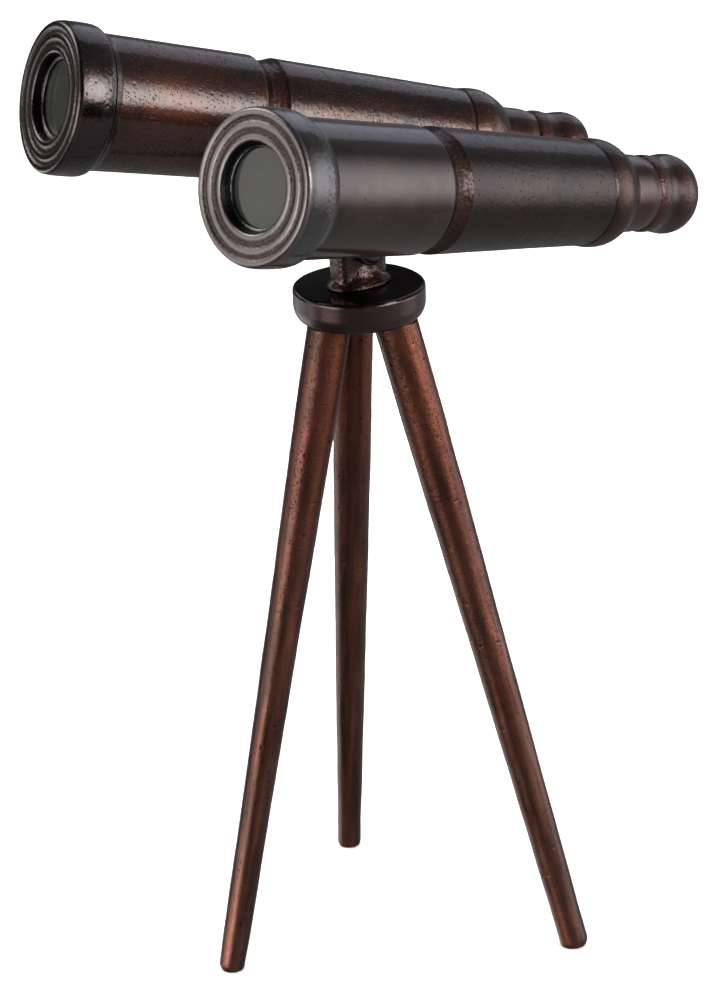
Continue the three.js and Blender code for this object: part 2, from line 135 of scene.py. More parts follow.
BARRELS = {hand: barrel_axis(hand) for hand in HANDS}
PAN = Axis(np.array(joint("head_pan")["pos_m"]) / MM * (1, 1, 0), (0, 0, 1), up=(0, 1, 0))
TILT_CENTRE = np.array(joint("head_tilt")["pos_m"]) / MM
TILT = Axis(TILT_CENTRE, (1, 0, 0))


# ---------- noise ----------
def lattice(cells, seed):
    """A fixed number from 0 to 1 for each whole-number cell."""
    cells = cells.astype(np.int64)
    mixed = cells[..., 0] * 374761393 + cells[..., 1] * 668265263 + cells[..., 2] * 2147483587
    mixed = (mixed + seed * 144269504) & 0xFFFFFFFF
    mixed = ((mixed ^ (mixed >> 13)) * 1274126177) & 0xFFFFFFFF
    mixed = ((mixed ^ (mixed >> 16)) * 2246822519) & 0xFFFFFFFF
    return ((mixed ^ (mixed >> 15)) & 0xFFFFFF) / float(0x1000000)


def smooth_noise(points, seed):
    """Value noise from -1 to 1 with one feature per unit."""
    cell = np.floor(points)
    part = points - cell
    part = part * part * (3 - 2 * part)
    total = np.zeros(len(points))
    for corner in np.ndindex(2, 2, 2):
        weight = np.prod(np.where(corner, part, 1 - part), axis=1)
        total += weight * lattice(cell + corner, seed)
    return 2 * total - 1


def fractal(points, seed, octaves):
    """Smooth noise with finer and fainter noise added, from -1 to 1."""
    total, size = np.zeros(len(points)), 0.0
    for octave in range(octaves):
        gain = 0.5 ** octave
        total += gain * smooth_noise(points * 2 ** octave + 17.3 * octave, seed + octave)
        size += gain
    return total / size


def pitting(points, spacing, share, smallest, largest, seed):
    """Depth from 0 to 1 inside round pits strewn through space, for that share of cells."""
    scaled = points / spacing
    cell = np.floor(scaled)
    depth = np.zeros(len(points))
    for offset in np.ndindex(3, 3, 3):
        cell_beside = cell + offset - 1
        centre = cell_beside + np.stack([lattice(cell_beside, seed + k) for k in range(3)], axis=1)
        present = lattice(cell_beside, seed + 3) < share
        radius = smallest + (largest - smallest) * lattice(cell_beside, seed + 4) ** 2
        distance = np.linalg.norm((scaled - centre) * spacing, axis=1) / radius
        depth = np.maximum(depth, np.where(present, np.clip(1.25 - distance ** 2, 0, 1), 0))
    return depth


# ---------- meshes ----------
WAVE_SIZE, GRAIN_SIZE, CROWD_SIZE = 21, 1.25, 26      # mm across a wave, a grain and a crowd of pits
SLIGHT_BEND = 0.04                                    # bends up to this count as flat, in 1/mm


class Surface:
    """Points in millimetres and faces, with the numbers that its material reads at each point."""

    def __init__(self, points, quads, triangles=()):
        self.points = np.asarray(points, float)
        self.quads = np.asarray(quads, np.int64).reshape(-1, 4)
        self.triangles = np.asarray(triangles, np.int64).reshape(-1, 3)
        self.local = self.points
        count = len(self.points)
        self.pit, self.wear, self.rough = np.zeros(count), np.zeros(count), np.zeros(count)
        self.edge = self.sharpness()

    def edges(self):
        pairs = [self.quads[:, [k, (k + 1) % 4]] for k in range(4)]
        pairs += [self.triangles[:, [k, (k + 1) % 3]] for k in range(3)]
        return np.concatenate(pairs)

    def normals(self):
        total = np.zeros_like(self.points)
        halves = [self.quads[:, [0, 1, 2]], self.quads[:, [0, 2, 3]], self.triangles]
        faces = np.concatenate(halves)
        a, b, c = (self.points[faces[:, k]] for k in range(3))
        normal = np.cross(b - a, c - a)
        for k in range(3):
            for axis in range(3):
                total[:, axis] += np.bincount(faces[:, k], normal[:, axis], len(total))
        return total / np.maximum(np.linalg.norm(total, axis=1, keepdims=True), 1e-12)

    def average(self, values, rounds=1):
        """Values smoothed over neighbouring points."""
        pairs = self.edges()
        count = len(self.points)
        share = np.bincount(pairs[:, 0], minlength=count) + np.bincount(pairs[:, 1], minlength=count)
        for _ in range(rounds):
            total = np.bincount(pairs[:, 0], values[pairs[:, 1]], count)
            total += np.bincount(pairs[:, 1], values[pairs[:, 0]], count)
            values = 0.5 * values + 0.5 * total / np.maximum(share, 1)
        return values

    def sharpness(self, full=0.45, rounds=2):
        """From -1 in a sharp hollow to 1 on a sharp edge."""
        pairs, normals = self.edges(), self.normals()
        step = self.points[pairs[:, 1]] - self.points[pairs[:, 0]]
        turn = normals[pairs[:, 1]] - normals[pairs[:, 0]]
        bend = np.einsum("ij,ij->i", step, turn) / np.maximum(np.einsum("ij,ij->i", step, step), 1e-4)
        count = len(self.points)
        total = np.bincount(pairs[:, 0], bend, count) + np.bincount(pairs[:, 1], bend, count)
        share = np.bincount(pairs[:, 0], minlength=count) + np.bincount(pairs[:, 1], minlength=count)
        bend = total / np.maximum(share, 1)
        bend = np.where(np.abs(bend) > SLIGHT_BEND, bend - SLIGHT_BEND * np.sign(bend), 0)
        return self.average(np.clip(bend / full, -1, 1), rounds)

    def cast(self, seed, wave=0.12, grain=0.02, pits=0.0, depth=0.4, spacing=3.2, sizes=(0.4, 1.0)):
        """Hand-cast relief: slow waves, fine grain where the skin is rough, and open pits."""
        normals = self.normals()
        at = self.local
        lift = wave * fractal(at / WAVE_SIZE, seed, 2)
        lift += (grain * (0.35 + self.rough)) * fractal(at / GRAIN_SIZE, seed + 11, 3)
        if pits:
            crowd = np.clip(0.5 + 1.2 * fractal(at / CROWD_SIZE, seed + 23, 2) + self.rough, 0, 1.6)
            holes = pitting(at, spacing, pits, *sizes, seed + 31)
            self.pit = np.maximum(self.pit, holes * np.clip(crowd, 0, 1))
            lift -= depth * self.pit
        self.points = self.points + normals * lift[:, None]
        return self

    def piece(self, name, material, node, slot):
        """The Blender object, riding on the body of the CAD node that it replaces."""
        mesh = bpy.data.meshes.new(name)
        loops = np.concatenate([self.quads.ravel(), self.triangles.ravel()])
        sizes = np.concatenate([np.full(len(self.quads), 4), np.full(len(self.triangles), 3)])
        mesh.vertices.add(len(self.points))
        mesh.vertices.foreach_set("co", (self.points * MM).astype(np.float32).ravel())
        mesh.loops.add(len(loops))
        mesh.loops.foreach_set("vertex_index", loops.astype(np.int32))
        mesh.polygons.add(len(sizes))
        starts = np.concatenate([[0], np.cumsum(sizes)[:-1]])
        mesh.polygons.foreach_set("loop_start", starts.astype(np.int32))
        mesh.polygons.foreach_set("loop_total", sizes.astype(np.int32))
        mesh.update(calc_edges=True)
        mesh.validate()
        mesh.shade_smooth()
        for label in ("pit", "wear", "rough", "edge"):
            attribute = mesh.attributes.new(label, "FLOAT", "POINT")
            attribute.data.foreach_set("value", getattr(self, label).astype(np.float32))
        attribute = mesh.attributes.new("local", "FLOAT_VECTOR", "POINT")
        attribute.data.foreach_set("vector", self.local.astype(np.float32).ravel())
        mesh.materials.append(material)
        made = bpy.data.objects.new(name, mesh)
        bpy.context.scene.collection.objects.link(made)
        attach(made, node_body(node))
        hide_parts(node)


def eased(corners, closed):
    """Profile points from (station, radius, ease) corners, each rounded off over its ease."""
    places = np.array([corner[:2] for corner in corners], float)
    path = []
    for index, corner in enumerate(corners):
        here = places[index]
        ease = corner[2] if len(corner) > 2 else 0
        at_end = not closed and index in (0, len(corners) - 1)
        if at_end or not ease:
            path.append(here)
            continue
        before, after = places[index - 1], places[(index + 1) % len(corners)]
        reach = min(ease, 0.49 * np.linalg.norm(before - here), 0.49 * np.linalg.norm(after - here))
        start, end = here + unit(before - here) * reach, here + unit(after - here) * reach
        for t in np.linspace(0, 1, max(4, int(reach / 0.3) + 2)):
            path.append((1 - t) ** 2 * start + 2 * t * (1 - t) * here + t ** 2 * end)
    return np.array(path)


def filled(path, step, closed):
    """The path with points added so that none is further than step from the next."""
    ends = np.roll(path, -1, axis=0)
    result = []
    for index, (here, there) in enumerate(zip(path, ends)):
        if not closed and index == len(path) - 1:
            result.append([here])
            break
        parts = max(1, math.ceil(np.linalg.norm(there - here) / step))
        result.append(here + (there - here) * np.arange(parts)[:, None] / parts)
    return np.concatenate(result)


def revolve(axis, rings, sides, closed, shift=None):
    """Surface of revolution from (station, radius) rings. A ring on the axis becomes one point.
    The rings run so that the material lies on their right."""
    angle = np.arange(sides) * 2 * math.pi / sides
    circle = np.stack([np.cos(angle), np.sin(angle)], axis=1)
    locals_, starts, total = [], [], 0
    for station, radius in rings:
        starts.append((total, radius > 1e-6))
        if radius > 1e-6:
            ring = np.column_stack([radius * circle, np.full(sides, station)])
        else:
            ring = np.array([[0.0, 0.0, station]])
        locals_.append(ring)
        total += len(ring)
    local = np.concatenate(locals_)
    if shift is not None:
        local = shift(local)
    now, after = np.arange(sides), (np.arange(sides) + 1) % sides
    quads, triangles = [], []
    pairs = list(zip(starts, starts[1:] + starts[:1])) if closed else list(zip(starts, starts[1:]))
    for (a, a_full), (b, b_full) in pairs:
        if a_full and b_full:
            quads.append(np.column_stack([a + now, a + after, b + after, b + now]))
        elif b_full:
            triangles.append(np.column_stack([np.full(sides, a), b + after, b + now]))
        elif a_full:
            triangles.append(np.column_stack([a + now, a + after, np.full(sides, b)]))
    surface = Surface(axis.to_row(local), np.concatenate(quads),
                      np.concatenate(triangles) if triangles else ())
    surface.local = local
    return surface


def turned(axis, outside, inside=(), step=0.7, sides=320, coarse=6.0, shift=None):
    """A turned piece. outside is the fine, seen part of its profile and inside the hidden rest.
    With no inside, the outside starts and ends on the axis."""
    closed = len(inside) > 0
    if not closed:
        return revolve(axis, filled(eased(outside, False), step, False), sides, False, shift)
    fine = eased([inside[-1][:2], *outside, inside[0][:2]], False)[1:-1]
    hidden = np.array([corner[:2] for corner in inside], float)
    rings = [filled(fine, step, False),
             filled(np.vstack([fine[-1], hidden, fine[0]]), coarse, False)[1:-1]]
    return revolve(axis, np.vstack(rings), sides, True, shift)


def recast(node, voxel, rounds=3):
    """A fine copy of a CAD node's solid, with its corners softened as in a casting."""
    source = frame["nodes"][node]
    copy = bpy.data.objects.new(f"{node}_copy", source.data.copy())
    bpy.context.scene.collection.objects.link(copy)
    remesh = copy.modifiers.new("Voxels", "REMESH")
    remesh.mode = "VOXEL"
    remesh.voxel_size = voxel * MM
    smoothing = copy.modifiers.new("Softened", "SMOOTH")
    smoothing.factor = 0.5
    smoothing.iterations = rounds
    mesh = bpy.data.meshes.new_from_object(copy.evaluated_get(bpy.context.evaluated_depsgraph_get()))
    bpy.data.objects.remove(copy)
    flat = np.empty(len(mesh.vertices) * 3, np.float32)
    mesh.vertices.foreach_get("co", flat)
    quads = [p.vertices[:] for p in mesh.polygons if len(p.vertices) == 4]
    triangles = [p.vertices[:] for p in mesh.polygons if len(p.vertices) == 3]
    return Surface(flat.reshape(-1, 3) / MM, quads, triangles)


# ---------- material nodes ----------
class Nodes:
    """Short calls that add nodes to one material."""

    def __init__(self, name):
        self.material = bpy.data.materials.new(name)
        self.material.use_nodes = True
        self.tree = self.material.node_tree
        self.tree.nodes.clear()
        self.output = self.tree.nodes.new("ShaderNodeOutputMaterial")
        self.shader = self.tree.nodes.new("ShaderNodeBsdfPrincipled")
        self.link(self.shader.outputs[0], self.output.inputs["Surface"])

    def link(self, source, target):
        self.tree.links.new(source, target)

    def put(self, socket, value):
        if isinstance(value, bpy.types.NodeSocket):
            self.link(value, socket)
        elif isinstance(value, tuple) and len(value) == 3 and socket.type == "RGBA":
            socket.default_value = (*value, 1.0)
        else:
            socket.default_value = value

    def attribute(self, name, output="Fac"):
        node = self.tree.nodes.new("ShaderNodeAttribute")
        node.attribute_name = name
        return node.outputs[output]

    def object_place(self):
        """Places in millimetres on a piece that has no local attribute."""
        place = self.tree.nodes.new("ShaderNodeTexCoord").outputs["Object"]
        return self.stretched(place, (1 / MM,) * 3)

    def stretched(self, vector, scale):
        node = self.tree.nodes.new("ShaderNodeVectorMath")
        node.operation = "MULTIPLY"
        self.link(vector, node.inputs[0])
        node.inputs[1].default_value = scale
        return node.outputs[0]

    def noise(self, vector, size, detail=3.0, roughness=0.55, distortion=0.0):
        """Noise from 0 to 1 whose features are about size millimetres across."""
        node = self.tree.nodes.new("ShaderNodeTexNoise")
        self.link(vector, node.inputs["Vector"])
        node.inputs["Scale"].default_value = 1 / size
        node.inputs["Detail"].default_value = detail
        node.inputs["Roughness"].default_value = roughness
        node.inputs["Distortion"].default_value = distortion
        return node.outputs["Fac"]

    def cells(self, vector, size):
        node = self.tree.nodes.new("ShaderNodeTexVoronoi")
        self.link(vector, node.inputs["Vector"])
        node.inputs["Scale"].default_value = 1 / size
        return node.outputs["Distance"], node.outputs["Color"]

    def math(self, operation, a, b=0.0, clamp=False):
        node = self.tree.nodes.new("ShaderNodeMath")
        node.operation = operation
        node.use_clamp = clamp
        self.put(node.inputs[0], a)
        self.put(node.inputs[1], b)
        return node.outputs[0]

    def span(self, value, low, high, to_low=0.0, to_high=1.0):
        """value carried from low..high to to_low..to_high, held at the ends."""
        node = self.tree.nodes.new("ShaderNodeMapRange")
        node.interpolation_type = "SMOOTHSTEP"
        for socket, number in zip(node.inputs[:5], (value, low, high, to_low, to_high)):
            self.put(socket, number)
        return node.outputs["Result"]

    def mix(self, share, a, b):
        node = self.tree.nodes.new("ShaderNodeMix")
        node.data_type = "RGBA"
        node.clamp_factor = True
        self.put(node.inputs["Factor"], share)
        self.put(node.inputs[6], a)
        self.put(node.inputs[7], b)
        return node.outputs[2]

    def bump(self, height, distance, strength=1.0, after=None):
        """Height from 0 to 1 raised by distance in millimetres."""
        node = self.tree.nodes.new("ShaderNodeBump")
        node.inputs["Distance"].default_value = distance * MM
        node.inputs["Strength"].default_value = strength
        self.link(height, node.inputs["Height"])
        if after is not None:
            self.link(after, node.inputs["Normal"])
        return node.outputs["Normal"]

    def set(self, **values):
        for name, value in values.items():
            self.put(self.shader.inputs[name.replace("_", " ").title().replace("Ior", "IOR")], value)
        return self.material


SOILED = (0.60, 0.34, 0.24)        # of the copper's colour, where dirt is rubbed into its grain
# Grime in pits and hollows, and the painted shade in recesses, gaps and bases, take this share.
GRIME_AND_PAINTED_SHADE = 0.22                 # of the dark skin's colour


def patina(name, dark, warm, copper, rub, pits, roughness, streaks, coat, coat_roughness, grain,
           pit_size=1.5, flow=(1, 1, 1)):
    """Oil-rubbed bronze under lacquer: a dark skin, mottled with a warm one, over copper that shows on
    edges, in rubbed patches and, where a piece asks for it, as painted highlights. Pits and sharp hollows
    hold black grime and no lacquer; where a piece marks a recess, a gap or a base as a full hollow, the
    same black is painted shade.
    rub, pits, streaks and coat are shares, grain is a height in mm and flow stretches the mottling."""
    n = Nodes(name)
    place = n.attribute("local", "Vector")
    edge, wear = n.attribute("edge"), n.attribute("wear")
    rough, pit = n.attribute("rough"), n.attribute("pit")
    drawn = n.stretched(place, flow)
    blotch = n.span(n.noise(drawn, 34 * min(1, 4 * flow[2]), 4, 0.6, 0.4), 0.38, 0.64)
    patch = n.span(n.noise(drawn, 9, 6, 0.65), 0.42, 0.66)
    speck = n.span(n.noise(place, 0.9, 3, 0.6), 0.46, 0.62)
    streak = n.noise(n.stretched(place, (0.02, 0.02, 1.0)), 1.1, 3, 0.6)

    skin = n.mix(blotch, dark, warm)
    skin = n.mix(n.span(streak, 0.3, 0.75, 0, streaks * 4), skin, warm)
    rubbed = n.math("MULTIPLY", patch, rub)
    on_edges = n.math("MULTIPLY", n.span(edge, 0.12, 0.8), n.span(patch, 0, 1, 0.35, 1))
    grainy = n.math("SUBTRACT", 1.0, n.math("MULTIPLY", rough, n.span(speck, 0, 1, 0.75, 0)))
    shows = n.math("ADD", n.math("ADD", rubbed, n.math("MULTIPLY", on_edges, 0.6)), wear, clamp=True)
    shows = n.math("MULTIPLY", shows, grainy)
    soiled = tuple(c * k for c, k in zip(copper, SOILED))
    colour = n.mix(shows, skin, n.mix(rough, copper, soiled))

    distance, cell = n.cells(place, pit_size)
    chosen = n.tree.nodes.new("ShaderNodeSeparateColor")
    n.link(cell, chosen.inputs[0])
    crowd = n.span(n.noise(place, 17, 3, 0.6), 0.40, 0.68)
    crowd = n.math("ADD", n.math("MULTIPLY", crowd, pits), n.math("MULTIPLY", rough, 0.35))
    small = n.math("MULTIPLY", n.span(distance, 0.14, 0.34, 1, 0),
                   n.math("LESS_THAN", chosen.outputs[0], crowd))
    hollow = n.math("MAXIMUM", small, n.span(pit, 0.15, 0.7))
    # Hollows hold grime; where a piece sets a full hollow in a recess, a gap or at a base, this black is
    # painted shade.
    grime_and_shade = n.math("MAXIMUM", hollow, n.span(edge, -0.9, -0.15, 0.75, 0))
    black = tuple(GRIME_AND_PAINTED_SHADE * c for c in dark)
    colour = n.mix(n.math("MULTIPLY", grime_and_shade, 0.9), colour, black)

    gloss = n.span(n.noise(place, 6, 4, 0.6), 0.3, 0.7, roughness - 0.05, roughness + 0.06)
    gloss = n.math("ADD", gloss, n.math("MULTIPLY", n.span(streak, 0.35, 0.7), streaks))
    gloss = n.math("ADD", gloss, n.math("MULTIPLY", rough, 0.10))
    gloss = n.math("ADD", gloss, n.math("MULTIPLY", wear, 0.14))
    gloss = n.math("ADD", gloss, n.math("MULTIPLY", hollow, 0.3), clamp=True)

    fine = n.math("MULTIPLY", n.noise(place, 1.0, 2, 0.6), n.span(rough, 0, 1, 0.12, 1))
    normal = n.bump(fine, grain)
    normal = n.bump(n.math("SUBTRACT", 1.0, small), 0.10, 1.0, normal)
    lacquer = n.math("MULTIPLY", n.math("SUBTRACT", 1.0, grime_and_shade, clamp=True), coat)
    return n.set(base_color=colour, metallic=1.0, roughness=gloss, normal=normal,
                 coat_weight=lacquer, coat_roughness=coat_roughness, coat_normal=normal)


def plain_metal(name, colour, roughness, grain):
    """Turned brass or blackened steel on hidden fittings, with tool marks and tarnish."""
    n = Nodes(name)
    place = n.object_place()
    tarnish = n.span(n.noise(place, 3.5, 4, 0.6), 0.35, 0.7)
    marks = n.noise(place, 0.35, 3, 0.6)
    shade = n.mix(tarnish, colour, tuple(0.45 * c for c in colour))
    gloss = n.span(marks, 0.3, 0.7, roughness - 0.08, roughness + 0.12)
    return n.set(base_color=shade, metallic=1.0, roughness=gloss, normal=n.bump(marks, grain))


def felt_material():
    n = Nodes("felt")
    place = n.object_place()
    fibre = n.noise(place, 0.25, 4, 0.7)
    shade = n.mix(n.span(fibre, 0.3, 0.7), (0.035, 0.03, 0.026), (0.11, 0.095, 0.08))
    return n.set(base_color=shade, roughness=0.95, sheen_weight=0.4, normal=n.bump(fibre, 0.12))


def glass_material():
    """Flat glass drawn opaque, whose dark colour is painted shade for the dark barrel behind it: a faint
    film of dust and a polished face.
    """
    n = Nodes("smoked_glass")
    place = n.attribute("local", "Vector")
    dust = n.span(n.noise(place, 5, 5, 0.65), 0.45, 0.8, 0, 0.35)
    shade = n.mix(dust, (0.022, 0.022, 0.020), (0.042, 0.041, 0.038))
    gloss = n.span(n.noise(place, 2.0, 4, 0.6), 0.4, 0.8, 0.02, 0.07)
    return n.set(base_color=shade, roughness=gloss, specular_ior_level=0.45)


GLASS = glass_material()
BRASS = plain_metal("brass", (0.42, 0.27, 0.11), 0.34, 0.01)
STEEL = plain_metal("steel", (0.10, 0.09, 0.085), 0.38, 0.015)
FELT = felt_material()

DARK_BROWN = (0.018, 0.011, 0.011)
GREY_BROWN = (0.038, 0.025, 0.023)
RED_BROWN = (0.048, 0.019, 0.013)
SLATE = (0.054, 0.054, 0.058)
COPPER = (0.30, 0.125, 0.075)
PEWTER = (0.17, 0.142, 0.135)

BARREL_SKIN = {
    "left": patina("bronze_left", DARK_BROWN, GREY_BROWN, COPPER, rub=0.04, pits=0.06, roughness=0.38,
                   streaks=0.03, coat=0.8, coat_roughness=0.10, grain=0.07),
    "right": patina("bronze_right", DARK_BROWN, RED_BROWN, COPPER, rub=0.10, pits=1.0, pit_size=1.2,
                    roughness=0.32, streaks=0.02, coat=0.8, coat_roughness=0.10, grain=0.04),
}
# The left rear tube takes a darker copy of the left bronze with less lacquer: painted shade that dims its
# highlight.
REAR_SKIN_WITH_PAINTED_SHADE = {
    "left": patina("bronze_rear_left", (0.014, 0.009, 0.009), (0.026, 0.017, 0.016), COPPER, rub=0.03,
                   pits=0.06, roughness=0.38, streaks=0.03, coat=0.45, coat_roughness=0.10, grain=0.07),
    "right": BARREL_SKIN["right"],
}
RIM_SKIN = {
    "left": patina("bronze_rim_left", SLATE, (0.036, 0.031, 0.033), PEWTER, rub=0.02, pits=0.04,
                   pit_size=1.0, roughness=0.29, streaks=0.02, coat=0.9, coat_roughness=0.14, grain=0.22),
    "right": patina("bronze_rim_right", (0.022, 0.018, 0.019), (0.042, 0.026, 0.025), PEWTER, rub=0.02,
                    pits=0.2, pit_size=0.9, roughness=0.25, streaks=0.0, coat=0.7, coat_roughness=0.11,
                    grain=0.08),
}
CUP_SKIN = patina("bronze_cup", (0.030, 0.018, 0.017), (0.070, 0.036, 0.030), COPPER, rub=0.06, pits=0.12,
                  pit_size=0.9, roughness=0.34, streaks=0.03, coat=0.6, coat_roughness=0.13, grain=0.10)
PALE_COPPER = (0.30, 0.19, 0.16)
POST_SKIN = patina("bronze_post", (0.014, 0.008, 0.008), (0.070, 0.030, 0.024), PALE_COPPER,
                   rub=0.12, pits=0.6, pit_size=1.1, roughness=0.26, streaks=0.0, coat=0.5,
                   coat_roughness=0.13, grain=0.06)
LEG_SKIN = patina("bronze_leg", (0.026, 0.011, 0.009), (0.150, 0.046, 0.026), (0.38, 0.19, 0.14),
                  rub=0.24, pits=0.5, pit_size=1.3, roughness=0.36, streaks=0.0, coat=0.3,
                  coat_roughness=0.2, grain=0.05, flow=(1, 1, 0.10))
DISC_SKIN = patina("lacquer_disc", (0.004, 0.003, 0.004), (0.008, 0.006, 0.006), (0.085, 0.043, 0.040),
                   rub=0.02, pits=0.02, roughness=0.34, streaks=0.0, coat=0.6, coat_roughness=0.06,
                   grain=0.015)


# ---------- barrels ----------
def near(stations, centre, width):
    """1 at a station, falling to 0 over width on both sides."""
    return np.clip(1 - np.abs(stations - centre) / width, 0, 1)


def between(stations, low, high, soft=1.5):
    rise = np.clip((stations - low) / soft + 0.5, 0, 1)
    fall = np.clip((high - stations) / soft + 0.5, 0, 1)
    return np.minimum(rise, fall)


RIM_FINISH = {"left": (0.70, 0.03), "right": (0.12, 0.30)}      # shares: wear of the face, pits


def objective_rim(hand, axis, seed):
    """Deep cap with a stepped face: two flat-topped rings between grooves, round the glass's seat."""
    _, last, outer = axis.span(f"{hand}_objective_rim")
    tube = axis.span(f"{hand}_front_tube")[2]
    lip, opening, seat = 19.6, 21.6, 27.0
    glass_front = axis.span(f"{hand}_objective_glass")[0]
    web_end = axis.span(f"{hand}_front_tube")[0] - 0.3
    outside = [
        (glass_front - 0.3, lip), (glass_front - 0.9, lip + 0.3, 0.5),
        (glass_front - 1.4, opening - 0.5, 0.5), (glass_front - 2.2, opening - 0.1, 0.7),
        (2.4, 22.0, 1.0), (0.9, 22.8, 0.7), (0.5, 23.7, 0.8),
        (0.5, 25.2, 1.0), (1.15, 26.3, 0.8), (1.3, 27.6, 1.2), (1.1, 28.8, 0.8), (0.45, 29.8, 1.0),
        (0.4, 32.0, 1.0), (1.05, 32.9, 0.7), (1.2, 33.8, 0.8), (0.95, 34.7, 0.7), (0.2, 35.7, 0.9),
        (0.0, 37.8, 1.2), (1.4, outer - 0.4, 1.7), (5, outer, 3), (13, outer - 0.05, 4),
        (last - 3.2, outer - 0.5, 2), (last - 1.0, outer - 1.3, 0.9), (last, tube + 1.2, 0.4),
    ]
    inside = [(last, tube + 0.35), (web_end, tube + 0.3), (web_end, seat), (glass_front - 0.3, seat)]
    surface = turned(axis, outside, inside, step=0.42, sides=440)
    station, radius = surface.local[:, 2], np.hypot(surface.local[:, 0], surface.local[:, 1])
    face = np.clip(1 - (station - 2.2) / 0.8, 0, 1)
    grooves = between(radius, 25.7, 29.4, 0.9) + between(radius, 32.5, 35.4, 0.8)
    bore = between(radius, opening - 1.0, 22.7, 0.6)
    surface.rough = np.clip(grooves * face + bore + 0.7 * between(station, 13.5, 25), 0, 1)
    shine, pits = RIM_FINISH[hand]
    surface.wear = shine * np.clip(face - bore, 0, 1) + 0.3 * grooves * face
    # The face's grooves are made darker. The bore's wall round the glass is set to a full hollow, which
    # paints it near black: painted shade in the recess.
    edges_and_darker_grooves = 0.3 * surface.edge * (1 - face) - 0.6 * grooves * face
    surface.edge = np.where(bore > 0.5, -1.0, edges_and_darker_grooves)
    surface.cast(seed, wave=0.08, grain=0.13, pits=pits, depth=0.3, spacing=2.0, sizes=(0.3, 0.6))
    surface.piece(f"{hand}_rim", RIM_SKIN[hand], f"{hand}_objective_rim", "bronze_patina")


def front_tube(hand, axis, seed):
    """Tapered front length of the barrel, with a small bead against the rim."""
    node = f"{hand}_front_tube"
    first, last, largest = axis.span(node)
    rim_end = axis.span(f"{hand}_objective_rim")[1]
    end_radius = 32.5
    outside = [
        (first, largest), (rim_end + 0.2, largest), (rim_end + 0.3, largest + 1.3, 0.4),
        (rim_end + 1.6, largest + 0.7, 1.2), (rim_end + 3.4, largest - 0.1, 2), (62, 33.9, 10),
        (last - 9, end_radius + 0.15, 4), (last - 1.4, end_radius - 0.1, 1.6),
        (last, end_radius - 1.9, 0.6),
    ]
    inside = [(last, 29.5), (90, 29.5), (34, largest - 3), (first, largest - 3)]
    surface = turned(axis, outside, inside, step=0.62, sides=380)
    station = surface.local[:, 2]
    surface.edge *= 0.3
    surface.rough = 0.6 * between(station, rim_end - 2, rim_end + 3)
    surface.wear = 0.2 * near(station, last - 0.8, 1.0)
    if hand == "right":
        surface.rough += 0.6
        # Along the first part of the right tube the copper is partly wear and partly a painted highlight.
        surface.wear += 0.18 * between(station, rim_end + 3, 78, 50)
        surface.cast(seed, 0.16, 0.05, pits=0.30, depth=0.35, spacing=2.1, sizes=(0.3, 0.55))
    else:
        surface.cast(seed, 0.12, 0.015, pits=0.022, depth=0.5, spacing=5.0, sizes=(0.45, 1.1))
    surface.piece(f"{hand}_tube_front", BARREL_SKIN[hand], node, "bronze_patina")


REAR_ROUGH = {"left": 0.3, "right": 0.5}
BEAD_WEAR = {"left": 0.06, "right": 0.6}


def rear_tube(hand, axis, seed):
    """Tapered rear length: the groove at the joint, the long taper, a bead and a rounded shoulder."""
    node = f"{hand}_rear_tube"
    first, last, _ = axis.span(node)
    spigot, start, end = 29.2, 32.0, 27.0
    joint_at = axis.span(f"{hand}_front_tube")[1] + 0.3
    bead, shoulder = 230.0, 28.0      # station of the bead, radius of the shoulder behind it
    outside = [
        (first, spigot), (joint_at, spigot), (joint_at, 29.9, 0.3), (joint_at + 1.5, 29.7, 1.0),
        (joint_at + 5, 30.1, 3), (119.6, 31.4, 1.6), (121.3, 32.1, 1.0), (123.6, start - 0.05, 1.2),
        (160, 30.2, 12), (200, 28.3, 12),
        (bead - 1.2, end + 0.05, 1), (bead, end - 0.2, 0.4), (bead + 1.2, end + 0.35, 0.7),
        (bead + 7, shoulder, 4), (bead + 13, shoulder - 0.5, 4), (bead + 19, shoulder - 3.3, 4),
        (bead + 23.2, 22.0, 1.4), (last, 21.0, 0.2),
    ]
    inside = [(last, 20.3), (last - 9, 20.3), (last - 9, 23.5), (196, 23.5), (158, 28), (first + 6, 26.2),
              (first, 26.2)]
    surface = turned(axis, outside, inside, step=0.66, sides=340)
    station = surface.local[:, 2]
    surface.rough = between(station, joint_at, 120.5) + 0.4 * near(station, bead, 2.5)
    surface.rough += REAR_ROUGH[hand]
    surface.wear = BEAD_WEAR[hand] * near(station, bead, 1.0) + 0.18 * near(station, 121.4, 1.1)
    # The bands in the groove (stations 113 to 120) and on the shoulder behind the bead take copper as
    # painted highlights.
    surface.wear += 0.30 * between(station, 113, 120) + 0.16 * between(station, bead + 3, bead + 13, 5)
    # Just behind the joint the skin is set to a full hollow, which paints it near black: painted shadow in
    # the gap behind the front tube's end.
    surface.edge = 0.15 * surface.edge - between(station, joint_at - 1, joint_at + 2.4, 1.2)
    if hand == "right":
        surface.cast(seed, 0.14, 0.08, pits=0.22, depth=0.35, spacing=2.2, sizes=(0.3, 0.55))
    else:
        surface.cast(seed, 0.11, 0.12, pits=0.018, depth=0.5, spacing=5.0, sizes=(0.45, 1.0))
    surface.piece(f"{hand}_tube_rear", REAR_SKIN_WITH_PAINTED_SHADE[hand], node, "bronze_patina")


